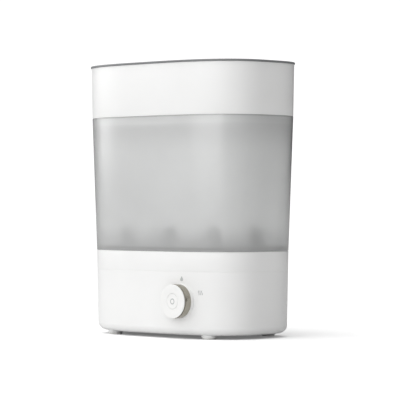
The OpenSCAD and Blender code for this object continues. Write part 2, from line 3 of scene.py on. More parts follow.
import bmesh
import bpy
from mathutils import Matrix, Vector


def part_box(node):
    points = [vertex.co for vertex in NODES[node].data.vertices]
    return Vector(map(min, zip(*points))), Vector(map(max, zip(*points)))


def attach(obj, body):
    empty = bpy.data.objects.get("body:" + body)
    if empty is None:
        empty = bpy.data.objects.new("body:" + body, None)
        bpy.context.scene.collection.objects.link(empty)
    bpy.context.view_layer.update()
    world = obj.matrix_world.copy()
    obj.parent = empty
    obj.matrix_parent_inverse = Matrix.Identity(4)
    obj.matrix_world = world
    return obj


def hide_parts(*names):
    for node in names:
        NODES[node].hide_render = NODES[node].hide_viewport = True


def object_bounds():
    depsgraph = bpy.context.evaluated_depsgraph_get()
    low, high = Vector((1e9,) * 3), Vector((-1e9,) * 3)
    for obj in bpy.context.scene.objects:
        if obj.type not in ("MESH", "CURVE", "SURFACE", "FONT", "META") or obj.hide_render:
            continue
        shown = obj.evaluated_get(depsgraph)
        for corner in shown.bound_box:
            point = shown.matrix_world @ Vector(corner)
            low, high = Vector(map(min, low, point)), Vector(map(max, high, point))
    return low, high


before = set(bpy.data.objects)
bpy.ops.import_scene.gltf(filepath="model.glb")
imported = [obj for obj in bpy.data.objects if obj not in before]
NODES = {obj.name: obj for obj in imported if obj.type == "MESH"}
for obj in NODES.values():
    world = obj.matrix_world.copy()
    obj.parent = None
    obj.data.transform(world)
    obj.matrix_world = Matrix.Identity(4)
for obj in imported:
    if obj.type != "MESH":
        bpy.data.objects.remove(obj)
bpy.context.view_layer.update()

MM = 0.001

# ---------- the camera: level, seen from the front right ----------

VIEW_AZIMUTH = math.radians(44.7)
VIEW_DISTANCE = 2.944
VIEW_HEIGHT = 0.174
LENS = 202.1
# The view's centre lies a little to the right of the object and above the lens's height
AIM_RIGHT = 0.0113
AIM_UP = 0.0026


def add_camera():
    """Long lens on the level of the object's middle, shifted a little to the right."""
    data = bpy.data.cameras.new("camera")
    data.lens = LENS
    data.sensor_width = 36.0
    data.clip_end = 60.0
    camera = bpy.data.objects.new("camera", data)
    bpy.context.scene.collection.objects.link(camera)
    towards = Vector((math.sin(VIEW_AZIMUTH), -math.cos(VIEW_AZIMUTH), 0.0))
    right = Vector((math.cos(VIEW_AZIMUTH), math.sin(VIEW_AZIMUTH), 0.0))
    camera.location = towards * VIEW_DISTANCE + Vector((0, 0, VIEW_HEIGHT))
    target = right * AIM_RIGHT + Vector((0, 0, VIEW_HEIGHT + AIM_UP))
    camera.rotation_euler = (target - camera.location).to_track_quat("-Z", "Y").to_euler()
    bpy.context.scene.camera = camera


# ---------- heights and sizes, from the CAD nodes ----------

def low(node):
    """Lowest corner of a CAD node's box."""
    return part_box(node)[0]


def high(node):
    """Highest corner of a CAD node's box."""
    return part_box(node)[1]


RIM_Z = high("small_basket").z
TOP_Z = high("lid").z
BAND_Z = high("large_basket").z
COLLAR_Z = high("base_collar").z
SEAM_Z = high("base_housing").z
UNDER_Z = low("bottom_cover").z
FLOOR_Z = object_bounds()[0].z

HALF_LENGTH = high("lid").x
HALF_DEPTH = high("lid").y
SQUARENESS = 3.07
EDGE_R = 19 * MM
FOOT_SCALE = 0.925

TAPER = [
    (UNDER_Z + EDGE_R, FOOT_SCALE),
    (SEAM_Z, high("base_housing").x / HALF_LENGTH),
    (COLLAR_Z, high("base_collar").x / HALF_LENGTH),
    (BAND_Z, high("large_basket").x / HALF_LENGTH),
    (RIM_Z, high("small_basket").x / HALF_LENGTH),
]

WALL = 2.4 * MM
BASKET_WALL = 2.2 * MM
LIFT_GAP = 0.5 * MM
FIT_GAP = 0.3 * MM
SKIRT_T = 2 * MM

KNOB_R = (high("knob_ring").x - low("knob_ring").x) / 2
KNOB_X = (high("knob_ring").x + low("knob_ring").x) / 2
KNOB_Z = (high("knob_ring").z + low("knob_ring").z) / 2
KNOB_FRONT = low("knob_ring").y
KNOB_BACK = high("knob_ring").y
SEAT_Y = KNOB_BACK + FIT_GAP
SEAT_R = KNOB_R + 0.7 * MM

SEGMENTS = 288
# How far a cutting tool reaches past the face that it opens
CUT_PAST = 10 * MM


def taper(z):
    """Size of the outline at height z, as a share of the lid rim."""
    if z <= TAPER[0][0]:
        return TAPER[0][1]
    for (z0, s0), (z1, s1) in zip(TAPER, TAPER[1:]):
        if z <= z1:
            return s0 + (s1 - s0) * (z - z0) / (z1 - z0)
    return TAPER[-1][1]


def oval(z, inset, count=SEGMENTS):
    """Outline of the body at height z, moved inward by inset."""
    a = HALF_LENGTH * taper(z) - inset
    b = HALF_DEPTH * taper(z) - inset
    points = []
    for i in range(count):
        t = 2 * math.pi * i / count
        c, s = math.cos(t), math.sin(t)
        reach = (abs(c) ** SQUARENESS + abs(s) ** SQUARENESS) ** (-1 / SQUARENESS)
        points.append(Vector((a * c * reach, b * s * reach, z)))
    return points


def half_depth(x, z, inset=0.0):
    """Distance of the outline from the X axis at x."""
    a = HALF_LENGTH * taper(z) - inset
    b = HALF_DEPTH * taper(z) - inset
    return b * max(0.0, 1 - abs(x / a) ** SQUARENESS) ** (1 / SQUARENESS)


# ---------- mesh tools ----------

def rounded(corners, steps=5, closed=True):
    """Outline through (u, v, radius) corners, each radius turned into an arc."""
    out = []
    n = len(corners)
    for i, (u, v, r) in enumerate(corners):
        here = Vector((u, v))
        ends = not closed and i in (0, n - 1)
        if r <= 0 or ends:
            out.append((u, v))
            continue
        before = Vector(corners[i - 1][:2]) - here
        after = Vector(corners[(i + 1) % n][:2]) - here
        angle = before.angle(after)
        cut = r / math.tan(angle / 2)
        cut = min(cut, 0.49 * before.length, 0.49 * after.length)
        r = cut * math.tan(angle / 2)
        bisector = (before.normalized() + after.normalized()).normalized()
        centre = here + bisector * (r / math.sin(angle / 2))
        start = here + before.normalized() * cut - centre
        end = here + after.normalized() * cut - centre
        sweep = math.atan2(start.x * end.y - start.y * end.x, start.dot(end))
        for k in range(steps + 1):
            w = sweep * k / steps
            turned_by = Vector((
                start.x * math.cos(w) - start.y * math.sin(w),
                start.x * math.sin(w) + start.y * math.cos(w),
            ))
            out.append(tuple(centre + turned_by))
    return out


def new_mesh(name, bm):
    """Object from a bmesh, with outward normals and smooth shading between sharp edges."""
    bmesh.ops.remove_doubles(bm, verts=bm.verts, dist=1e-7)
    bmesh.ops.recalc_face_normals(bm, faces=bm.faces)
    mesh = bpy.data.meshes.new(name)
    bm.to_mesh(mesh)
    bm.free()
    obj = bpy.data.objects.new(name, mesh)
    bpy.context.scene.collection.objects.link(obj)
    smooth(obj)
    return obj


def smooth(obj, angle=32):
    """Smooth shading between sharp edges. Level faces stay flat, so that long ones don't streak."""
    mesh = obj.data
    mesh.set_sharp_from_angle(angle=math.radians(angle))
    mesh.polygons.foreach_set("use_smooth", [abs(face.normal.z) < 0.9999 for face in mesh.polygons])
    mesh.update()


def loft(rings, closed, caps=False):
    """bmesh skin through rings of the same number of points."""
    bm = bmesh.new()
    rows = [[bm.verts.new(p) for p in ring] for ring in rings]
    pairs = list(zip(rows, rows[1:]))
    if closed:
        pairs.append((rows[-1], rows[0]))
    for a, b in pairs:
        for i in range(len(a)):
            k = (i + 1) % len(a)
            bm.faces.new((a[i], a[k], b[k], b[i]))
    if caps:
        bm.faces.new(rows[0])
        bm.faces.new(rows[-1])
    return bm


def oval_shell(name, profile, capped):
    """Shell whose (inset, height) profile runs round the oval outline."""
    rings = [oval(z, inset) for inset, z in profile]
    return new_mesh(name, loft(rings, not capped, capped))


def turned(name, centre, axis, profile, segments=96, closed=True):
    """Turned piece from a closed (radius, distance) outline about an axis, "Y" or "Z"."""
    rings = []
    for radius, along in profile:
        ring = []
        for i in range(segments):
            t = 2 * math.pi * i / segments
            p, q = radius * math.cos(t), radius * math.sin(t)
            if axis == "Y":
                ring.append(Vector((centre[0] + p, along, centre[1] + q)))
            else:
                ring.append(Vector((centre[0] + p, centre[1] + q, along)))
        rings.append(ring)
    return new_mesh(name, loft(rings, closed))


def disc_profile(corners, steps=5):
    """Closed outline of a solid turned disc; the points on the axis stay near it."""
    tiny = 1e-5
    return [(max(r, tiny), v) for r, v in rounded(corners, steps)]


def box_bm(lo, hi):
    """Box between two corners."""
    bm = bmesh.new()
    bmesh.ops.create_cube(bm, size=1.0)
    for v in bm.verts:
        v.co = Vector(lo[i] + (hi[i] - lo[i]) * (v.co[i] + 0.5) for i in range(3))
    return bm


def prism_bm(outline, z0, z1):
    """Upright prism over a closed outline of (x, y) points."""
    bm = bmesh.new()
    lower = [bm.verts.new((x, y, z0)) for x, y in outline]
    upper = [bm.verts.new((x, y, z1)) for x, y in outline]
    n = len(outline)
    for i in range(n):
        k = (i + 1) % n
        bm.faces.new((lower[i], lower[k], upper[k], upper[i]))
    bm.faces.new(lower)
    bm.faces.new(upper)
    return bm


def slot_outline(cx, cy, length, width, along="X", steps=10):
    """Outline of a slot with round ends."""
    points = []
    r = width / 2
    for side in (1, -1):
        for k in range(steps + 1):
            w = -math.pi / 2 + math.pi * k / steps
            u = side * (length / 2 - r + r * math.cos(w))
            v = side * r * math.sin(w)
            points.append((cx + u, cy + v) if along == "X" else (cx - v, cy + u))
    return points


def round_outline(x, y, radius, count):
    """Circle as a closed outline of (x, y) points."""
    angles = [2 * math.pi * i / count for i in range(count)]
    return [(x + radius * math.cos(t), y + radius * math.sin(t)) for t in angles]


def join_bm(parts):
    """One bmesh from several, which are freed."""
    whole = bmesh.new()
    for part in parts:
        bmesh.ops.recalc_face_normals(part, faces=part.faces)
        mesh = bpy.data.meshes.new("part")
        part.to_mesh(mesh)
        part.free()
        whole.from_mesh(mesh)
        bpy.data.meshes.remove(mesh)
    return whole


def boolean(obj, parts, operation="DIFFERENCE"):
    """Applies one exact boolean with all the given bmeshes as the tool."""
    tool = new_mesh(obj.name + "_tool", join_bm(parts))
    modifier = obj.modifiers.new("cut", "BOOLEAN")
    modifier.operation = operation
    modifier.solver = "EXACT"
    modifier.object = tool
    modifier.use_self = operation == "UNION"
    apply_modifiers(obj)
    bpy.data.objects.remove(tool)
    smooth(obj)
    return obj


def apply_modifiers(obj):
    """Gives the object the mesh that its modifiers make of it."""
    bpy.context.view_layer.update()
    graph = bpy.context.evaluated_depsgraph_get()
    mesh = bpy.data.meshes.new_from_object(obj.evaluated_get(graph))
    obj.modifiers.clear()
    obj.data = mesh


def soften(obj, width, segments=2, angle=50):
    """Small round-over on every sharp edge."""
    modifier = obj.modifiers.new("edge", "BEVEL")
    modifier.width = width
    modifier.segments = segments
    modifier.limit_method = "ANGLE"
    modifier.angle_limit = math.radians(angle)
    modifier.use_clamp_overlap = False
    modifier.miter_outer = "MITER_ARC"
    apply_modifiers(obj)
    smooth(obj)
    return obj


# ---------- materials ----------

def shader(name):
    """New node material, with its nodes, links and surface shader."""
    material = bpy.data.materials.new(name)
    material.use_nodes = True
    nodes = material.node_tree.nodes
    return material, nodes, material.node_tree.links, nodes["Principled BSDF"]


def add_noise(nodes, links, coords, scale, detail=3.0):
    noise = nodes.new("ShaderNodeTexNoise")
    noise.inputs["Scale"].default_value = scale
    noise.inputs["Detail"].default_value = detail
    links.new(coords.outputs["Object"], noise.inputs["Vector"])
    return noise


def add_relief(nodes, links, source, bsdf, strength):
    """Fine bumps whose height follows a noise."""
    relief = nodes.new("ShaderNodeBump")
    relief.inputs["Strength"].default_value = strength
    relief.inputs["Distance"].default_value = 0.2 * MM
    links.new(source, relief.inputs["Height"])
    links.new(relief.outputs["Normal"], bsdf.inputs["Normal"])


def switch(nodes, links, factor, first, second):
    """Shader that goes from the first to the second as the factor goes from 0 to 1."""
    mix = nodes.new("ShaderNodeMixShader")
    links.new(factor, mix.inputs[0])
    links.new(first.outputs[0], mix.inputs[1])
    links.new(second.outputs[0], mix.inputs[2])
    return mix


def spread(nodes, links, source, lowest, highest):
    """Values between lowest and highest that follow a noise."""
    ramp = nodes.new("ShaderNodeMapRange")
    ramp.inputs["From Min"].default_value = 0.3
    ramp.inputs["From Max"].default_value = 0.7
    ramp.inputs["To Min"].default_value = lowest
    ramp.inputs["To Max"].default_value = highest
    links.new(source, ramp.inputs["Value"])
    return ramp


def tint(nodes, links, source, dark, light):
    """Mixes two colours by a noise."""
    mix = nodes.new("ShaderNodeMix")
    mix.data_type = "RGBA"
    ramp = spread(nodes, links, source, 0.0, 1.0)
    links.new(ramp.outputs["Result"], mix.inputs["Factor"])
    mix.inputs["A"].default_value = (*dark, 1)
    mix.inputs["B"].default_value = (*light, 1)
    return mix


def moulded(name, colour, roughness, drift=0.03, grain=900.0, bump=0.03, **sockets):
    """Plastic, rubber or metal with a slow drift of colour and gloss and a fine grain."""
    material, nodes, links, bsdf = shader(name)
    coords = nodes.new("ShaderNodeTexCoord")
    slow = add_noise(nodes, links, coords, 28.0)
    fine = add_noise(nodes, links, coords, grain, 2.0)
    dark = [c * (1 - drift) for c in colour]
    light = [min(1.0, c * (1 + drift)) for c in colour]
    links.new(tint(nodes, links, slow.outputs["Fac"], dark, light).outputs["Result"],
              bsdf.inputs["Base Color"])
    gloss = spread(nodes, links, slow.outputs["Fac"], roughness - 0.04, roughness + 0.05)
    links.new(gloss.outputs["Result"], bsdf.inputs["Roughness"])
    add_relief(nodes, links, fine.outputs["Fac"], bsdf, bump)
    for socket, value in sockets.items():
        bsdf.inputs[socket.replace("_", " ")].default_value = value
    return material


# Painted shade on the frosted wall, from its foot (0) to its rim (1): darker at the foot, just below the
# upper basket's skirt and at the rim
WALL_PAINTED_SHADE = [(0.0, 0.62), (0.015, 0.83), (0.075, 0.85), (0.2, 0.97), (0.72, 1.0), (0.9, 0.92),
                (0.93, 0.93), (0.945, 0.985), (0.985, 0.98), (1.0, 0.74)]


def painted_height_shade(nodes, links, coords):
    """Painted shade: a grey value that follows the wall's height, darker at the foot, just below the upper
    basket's skirt and at the rim.
    """
    axes = nodes.new("ShaderNodeSeparateXYZ")
    links.new(coords.outputs["Object"], axes.inputs[0])
    share = nodes.new("ShaderNodeMapRange")
    share.inputs["From Min"].default_value = COLLAR_Z
    share.inputs["From Max"].default_value = BAND_Z
    links.new(axes.outputs["Z"], share.inputs["Value"])
    ramp = nodes.new("ShaderNodeValToRGB")
    ramp.color_ramp.interpolation = "EASE"
    stops = ramp.color_ramp.elements
    while len(stops) < len(WALL_PAINTED_SHADE):
        stops.new(0.5)
    for stop, (position, value) in zip(stops, WALL_PAINTED_SHADE):
        stop.position = position
        stop.color = (value, value, value, 1)
    links.new(share.outputs["Result"], ramp.inputs[0])
    return ramp.outputs["Color"]


def painted_edge_shade(nodes, links):
    """Painted shade: a grey value that falls where the wall is seen edge on."""
    facing = nodes.new("ShaderNodeLayerWeight")
    facing.inputs["Blend"].default_value = 0.5
    fade = nodes.new("ShaderNodeMapRange")
    fade.interpolation_type = "SMOOTHSTEP"
    fade.inputs["From Min"].default_value = 0.46
    fade.inputs["From Max"].default_value = 0.95
    fade.inputs["To Min"].default_value = 1.0
    fade.inputs["To Max"].default_value = 0.48
    links.new(facing.outputs["Facing"], fade.inputs["Value"])
    return fade.outputs["Result"]


def multiply(nodes, links, a, b):
    """Product of two colours."""
    mix = nodes.new("ShaderNodeMix")
    mix.data_type = "RGBA"
    mix.blend_type = "MULTIPLY"
    mix.inputs["Factor"].default_value = 1.0
    links.new(a, mix.inputs["A"])
    links.new(b, mix.inputs["B"])
    return mix.outputs["Result"]


def frosted():
    """Milky see-through plastic that lets lamplight into the inside, with shade painted into its colour.
    """
    material, nodes, links, bsdf = shader("frosted_plastic")
    coords = nodes.new("ShaderNodeTexCoord")
    slow = add_noise(nodes, links, coords, 16.0)
    fine = add_noise(nodes, links, coords, 1400.0, 2.0)
    mix = tint(nodes, links, slow.outputs["Fac"], (0.90, 0.904, 0.902), (0.93, 0.934, 0.932))
    # Painted shade: the colour darkens at the foot, below the upper basket's skirt, at the rim and where
    # the wall is seen edge on
    shade = multiply(nodes, links, mix.outputs["Result"], painted_height_shade(nodes, links, coords))
    shade = multiply(nodes, links, shade, painted_edge_shade(nodes, links))
    links.new(shade, bsdf.inputs["Base Color"])
    gloss = spread(nodes, links, slow.outputs["Fac"], 0.225, 0.265)
    links.new(gloss.outputs["Result"], bsdf.inputs["Roughness"])
    add_relief(nodes, links, fine.outputs["Fac"], bsdf, 0.08)
    bsdf.inputs["Transmission Weight"].default_value = 0.72
    bsdf.inputs["IOR"].default_value = 1.42
    bsdf.inputs["Coat Weight"].default_value = 0.9
    bsdf.inputs["Coat IOR"].default_value = 1.85
    bsdf.inputs["Coat Roughness"].default_value = 0.33
    passing = nodes.new("ShaderNodeBsdfTransparent")
    passing.inputs["Color"].default_value = (0.8, 0.81, 0.805, 1)
    path = nodes.new("ShaderNodeLightPath")
    wall = switch(nodes, links, path.outputs["Is Shadow Ray"], bsdf, passing)
    links.new(wall.outputs[0], nodes["Material Output"].inputs["Surface"])
    return material


def make_materials():
    """Every finish on the object, by a short name."""
    return {
        "white": moulded("white_plastic", (0.86, 0.86, 0.855), 0.32, drift=0.008, grain=700, bump=0.02),
        "inner_white": moulded("inner_white_plastic", (0.82, 0.82, 0.81), 0.34, drift=0.012, bump=0.04),
        "frosted": frosted(),
        "lid": moulded("lid_grey_plastic", (0.2, 0.205, 0.21), 0.36, drift=0.04, grain=1100, bump=0.1),
        "rack": moulded("rack_grey_plastic", (0.07, 0.08, 0.08), 0.42, drift=0.05, bump=0.06),
        "cover": moulded("cover_plastic", (0.62, 0.63, 0.63), 0.5, drift=0.03, bump=0.15),
        "steel": moulded("plated_steel", (0.62, 0.63, 0.64), 0.33, drift=0.06, bump=0.05, Metallic=1.0),
        "rubber": moulded("foot_rubber", (0.72, 0.72, 0.70), 0.62, drift=0.03, bump=0.2),
        "plate": moulded("coated_aluminium", (0.7, 0.71, 0.72), 0.32, drift=0.05, bump=0.05, Metallic=1.0),
        "silicone": moulded("silicone", (0.6, 0.6, 0.58), 0.48, drift=0.04, bump=0.06),
        "seal_red": moulded("seal_silicone", (0.5, 0.09, 0.05), 0.5, drift=0.05, bump=0.06),
        "dark": moulded("dark_plastic", (0.045, 0.05, 0.055), 0.5, drift=0.1, bump=0.15),
        "ceramic": moulded("ceramic", (0.68, 0.63, 0.54), 0.6, drift=0.06, bump=0.2),
        "knob_metal": moulded("knob_metal", (0.38, 0.36, 0.31), 0.2, drift=0.03, grain=2600, bump=0.06,
                              Metallic=1.0),
        "knob_white": moulded("knob_white", (0.86, 0.86, 0.85), 0.32, drift=0.008, grain=900, bump=0.02),
        "symbol": moulded("symbol_grey", (0.5, 0.51, 0.51), 0.45, drift=0.05, bump=0.02),
        "board": moulded("circuit_board", (0.03, 0.17, 0.08), 0.4, drift=0.15, grain=500, bump=0.2),
        "clear": moulded("clear_resin", (0.8, 0.82, 0.84), 0.12, drift=0.02, bump=0.01,
                         Transmission_Weight=0.7),
        "duct": moulded("duct_plastic", (0.09, 0.1, 0.11), 0.52, drift=0.08, bump=0.15),
        "fleece": moulded("filter_fleece", (0.62, 0.67, 0.7), 0.9, drift=0.1, grain=1500, bump=0.8),
        "gland": moulded("gland_plastic", (0.66, 0.66, 0.65), 0.45, drift=0.03, bump=0.08),
        "relay": moulded("relay_case", (0.03, 0.12, 0.34), 0.38, drift=0.05, bump=0.05),
        "terminal": moulded("terminal_case", (0.05, 0.26, 0.1), 0.42, drift=0.05, bump=0.05),
    }


def paint(obj, material):
    """Makes the material the only one on the object."""
    obj.data.materials.clear()
    obj.data.materials.append(material)


CAD_FINISH = {
    "rack": ["bottle_rack"],
    "cover": ["bottom_cover"],
    "steel": ["cover_screws", "plate_clamp", "plate_screws", "heating_element", "board_screws",
              "blower_screws", "blower_motor", "button_spring"],
    "plate": ["heating_plate"],
    "silicone": ["plate_gasket"],
    "seal_red": ["duct_seal"],
    "dark": ["thermostat", "rotary_encoder", "start_switch", "impeller"],
    "ceramic": ["thermal_fuse", "air_heater"],
    "board": ["control_board", "power_board"],
    "clear": ["indicator_leds"],
    "duct": ["blower_housing", "blower_cover"],
    "inner_white": ["outlet_grille"],
    "white": ["filter_cover"],
    "fleece": ["air_filter"],
    "gland": ["cord_gland"],
    "relay": ["power_relay"],
    "terminal": ["terminal_block"],
}


def finish_cad_nodes(materials):
    """Materials for the CAD nodes that are kept as they are."""
    for key, names in CAD_FINISH.items():
        for name in names:
            paint(NODES[name], materials[key])
            smooth(NODES[name], 28)


def settle(obj, body, material, slot, *nodes):
    """Gives a piece its material and body, and hides the CAD nodes that it stands for; the slot is not
    used.
    """
    paint(obj, material)
    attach(obj, body)
    if nodes:
        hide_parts(*nodes)
    return obj


# ---------- lid and baskets ----------

GRIP_LENGTH = 118 * MM
GRIP_WIDTH = 54 * MM
GRIP_DEPTH = 15 * MM
GRIP_BAR = 24 * MM
VENT_X = [x * MM for x in range(-60, 61, 15)]
VENT_Y = 46 * MM


def make_lid(mats):
    """Dished lid with a skirt inside the small basket, a grip and two rows of steam vents."""
    rim = -(HALF_LENGTH - high("small_basket").x)
    skirt_out = BASKET_WALL + LIFT_GAP
    skirt_in = skirt_out + SKIRT_T
    skirt_z = RIM_Z - 7 * MM
    plate_z = TOP_Z - 2.7 * MM
    dish = TOP_Z - 0.8 * MM
    profile = rounded([
        (6.2 * MM, dish, 0),
        (5.0 * MM, dish, 0.4 * MM),
        (4.2 * MM, TOP_Z, 0.5 * MM),
        (rim, TOP_Z, 1.0 * MM),
        (rim, plate_z, 0.7 * MM),
        (skirt_out, plate_z, 0.2 * MM),
        (skirt_out, skirt_z, 0.6 * MM),
        (skirt_in, skirt_z, 0.6 * MM),
        (skirt_in, plate_z, 0.6 * MM),
        (skirt_in + 2 * MM, plate_z, 0),
    ], closed=False)
    lid = oval_shell("lid_shell", profile, True)
    add_grip(lid, plate_z, dish)
    above = TOP_Z + CUT_PAST
    vents = [prism_bm(slot_outline(x, side * VENT_Y, 9 * MM, 3 * MM), plate_z - CUT_PAST, above)
             for x in VENT_X for side in (-1, 1)]
    boolean(lid, vents)
    soften(lid, 0.35 * MM)
    settle(lid, "lid", mats["lid"], "lid_grey", "lid")


def add_grip(lid, plate_z, dish):
    """Well in the lid's top with a bar across it to lift the lid by."""
    well_z = TOP_Z - GRIP_DEPTH
    skin = 2 * MM
    around = slot_outline(0, 0, GRIP_LENGTH + 2 * skin, GRIP_WIDTH + 2 * skin, steps=24)
    boolean(lid, [prism_bm(around, well_z - skin, plate_z + 0.4 * MM)], "UNION")
    inside = slot_outline(0, 0, GRIP_LENGTH, GRIP_WIDTH, steps=24)
    boolean(lid, [prism_bm(inside, well_z, TOP_Z + CUT_PAST)])
    half_bar = GRIP_BAR / 2
    half_span = GRIP_WIDTH / 2 + 1 * MM
    bar = prism_bm([(-half_bar, -half_span), (half_bar, -half_span),
                    (half_bar, half_span), (-half_bar, half_span)],
                   TOP_Z - 4 * MM, dish)
    boolean(lid, [bar], "UNION")


def make_small_basket(mats):
    """Upper basket, whose lower part nests in the large one."""
    skirt = BASKET_WALL + LIFT_GAP
    inner = skirt + SKIRT_T
    floor_z = low("small_basket").z
    profile = rounded([
        (skirt + 3 * MM, floor_z, 0),
        (skirt, floor_z, 1.6 * MM),
        (skirt, BAND_Z, 0.3 * MM),
        (0, BAND_Z, 0.6 * MM),
        (0, RIM_Z, 0.5 * MM),
        (BASKET_WALL, RIM_Z, 0.5 * MM),
        (BASKET_WALL, BAND_Z + 2.2 * MM, 1.0 * MM),
        (inner, BAND_Z + 2.2 * MM, 1.0 * MM),
        (inner, floor_z + BASKET_WALL, 2.0 * MM),
        (inner + 4 * MM, floor_z + BASKET_WALL, 0),
    ], closed=False)
    basket = oval_shell("small_basket_shell", profile, True)
    slots = [prism_bm(slot_outline(x * MM, side * 26 * MM, 38 * MM, 5 * MM, "Y"),
                      floor_z - CUT_PAST, floor_z + CUT_PAST)
             for x in range(-96, 97, 16) for side in (-1, 1)]
    boolean(basket, slots)
    settle(basket, "small_basket", mats["white"], "white_plastic", "small_basket")


def make_large_basket(mats):
    """Frosted main basket with a slotted floor and a skirt that drops into the base."""
    skirt = WALL + LIFT_GAP
    inner = skirt + SKIRT_T
    skirt_z = low("large_basket").z
    under_z = COLLAR_Z + 2.5 * MM
    floor_z = under_z + 2.4 * MM
    profile = rounded([
        (inner + 4 * MM, under_z, 0),
        (inner, under_z, 0.5 * MM),
        (inner, skirt_z, 0.6 * MM),
        (skirt, skirt_z, 0.6 * MM),
        (skirt, COLLAR_Z, 0.3 * MM),
        (0, COLLAR_Z, 0.5 * MM),
        (0, BAND_Z, 0.5 * MM),
        (BASKET_WALL, BAND_Z, 0.5 * MM),
        (BASKET_WALL, floor_z, 3 * MM),
        (BASKET_WALL + 6 * MM, floor_z, 0),
    ], closed=False)
    basket = oval_shell("large_basket_shell", profile, True)
    slots = [prism_bm(slot_outline(x * MM, side * 20 * MM, 30 * MM, 6 * MM, "Y"),
                      under_z - CUT_PAST, floor_z + 2 * MM)
             for x in range(-100, 101, 20) for side in (-1, 1)]
    boolean(basket, slots)
    settle(basket, "large_basket", mats["frosted"], "frosted_plastic", "large_basket")


# ---------- the base ----------

# A distance from the middle that lies clear of the body's front and back
BEHIND_Y = 100 * MM
SHAFT_HOLE_R = 8 * MM


def make_collar(mats):
    """Upper part of the base with the water tray and the tongue that fits the housing."""
    tongue = WALL + FIT_GAP
    tongue_z = SEAM_Z - 5 * MM
    inner = tongue + SKIRT_T
    tray_z = COLLAR_Z - 14.9 * MM
    tray_t = 2.4 * MM
    profile = rounded([
        (inner + 4 * MM, tray_z - tray_t, 0),
        (inner, tray_z - tray_t, 0.4 * MM),
        (inner, tongue_z, 0.5 * MM),
        (tongue, tongue_z, 0.5 * MM),
        (tongue, SEAM_Z, 0.2 * MM),
        (0, SEAM_Z, 0.35 * MM),
        (0, COLLAR_Z, 1.2 * MM),
        (WALL, COLLAR_Z, 0.7 * MM),
        (WALL, tray_z, 4 * MM),
        (WALL + 8 * MM, tray_z, 0),
    ], closed=False)
    collar = oval_shell("base_collar_shell", profile, True)
    cut_plate_well(collar, tray_z)
    add_chimney(collar)
    add_screw_posts(collar, tray_z)
    settle(collar, "base", mats["white"], "white_plastic", "base_collar")


def cut_plate_well(collar, tray_z):
    """Round well in the tray, with a flange that the steam plate is clamped to from below."""
    lo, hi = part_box("heating_plate")
    centre_x = (lo.x + hi.x) / 2
    well_r = (hi.x - lo.x) / 2 + 2 * MM
    well_wall = 2.4 * MM
    flange_w = 7 * MM
    flange_top = low("plate_gasket").z
    flange_low = flange_top - well_wall

    def drum(radius, z0, z1):
        return prism_bm(round_outline(centre_x, 0, radius, 96), z0, z1)

    boolean(collar, [drum(well_r + well_wall, flange_low, tray_z - 0.6 * MM)], "UNION")
    boolean(collar, [drum(well_r, flange_top, TOP_Z)])
    boolean(collar, [drum(well_r - flange_w, flange_low - CUT_PAST, flange_top + 1 * MM)])


def add_chimney(collar):
    """Square duct that brings warm air up through the tray, above the duct's seal."""
    wall = 2 * MM
    seal_lo, seal_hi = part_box("duct_seal")
    grille_top = high("outlet_grille").z
    boolean(collar, [box_bm(
        (seal_lo.x - wall, seal_lo.y - wall, seal_hi.z + 0.6 * MM),
        (seal_hi.x + wall, seal_hi.y + wall, grille_top - 2 * MM))], "UNION")
    boolean(collar, [box_bm(
        (seal_lo.x + wall, seal_lo.y + wall, seal_hi.z - CUT_PAST),
        (seal_hi.x - wall, seal_hi.y - wall, grille_top + CUT_PAST))])


def add_screw_posts(collar, tray_z):
    """Posts under the tray that the bottom cover is screwed to."""
    lo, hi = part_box("cover_screws")
    head_r = 3.2 * MM
    post_r = 4.5 * MM
    cover_top = high("bottom_cover").z
    posts = [prism_bm(round_outline(x, y, post_r, 32), cover_top, tray_z - 1 * MM)
             for x in (lo.x + head_r, hi.x - head_r)
             for y in (lo.y + head_r, hi.y - head_r)]
    boolean(collar, posts, "UNION")


def make_housing(mats):
    """Base shell with a rounded lower edge, open below for the bottom cover."""
    flange = EDGE_R + 2 * MM
    profile = rounded([
        (flange, UNDER_Z, 0.4 * MM),
        (0, UNDER_Z, EDGE_R),
        (0, SEAM_Z, 0.35 * MM),
        (WALL, SEAM_Z, 0.3 * MM),
        (WALL, UNDER_Z + WALL, EDGE_R - WALL),
        (flange, UNDER_Z + WALL, 0.4 * MM),
    ], steps=14)
    housing = new_mesh("base_housing_shell", loft([oval(z, inset) for inset, z in profile], True))
    subdivide_tall(housing, 4 * MM)
    flatten_seat(housing)
    cover_lo, cover_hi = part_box("filter_cover")
    lo = (cover_lo.x - FIT_GAP, cover_lo.y - 2 * MM, cover_lo.z - FIT_GAP)
    hi = (cover_hi.x + FIT_GAP, BEHIND_Y, cover_hi.z + FIT_GAP)
    shaft_hole = hole_bm(KNOB_X, KNOB_Z, SHAFT_HOLE_R, -BEHIND_Y, -60 * MM)
    boolean(housing, [box_bm(lo, hi), shaft_hole])
    settle(housing, "base", mats["white"], "white_plastic", "base_housing")
    make_pocket(mats, lo, hi)
    make_knob_seat(mats)
    make_foot_pads(mats)


def subdivide_tall(obj, height):
    """Cuts the tall side faces into rows no higher than height."""
    bm = bmesh.new()
    bm.from_mesh(obj.data)
    z = UNDER_Z + EDGE_R + height
    while z < SEAM_Z - height / 2:
        geometry = bm.verts[:] + bm.edges[:] + bm.faces[:]
        bmesh.ops.bisect_plane(bm, geom=geometry, plane_co=(0, 0, z), plane_no=(0, 0, 1))
        z += height
    bm.to_mesh(obj.data)
    bm.free()
    smooth(obj)


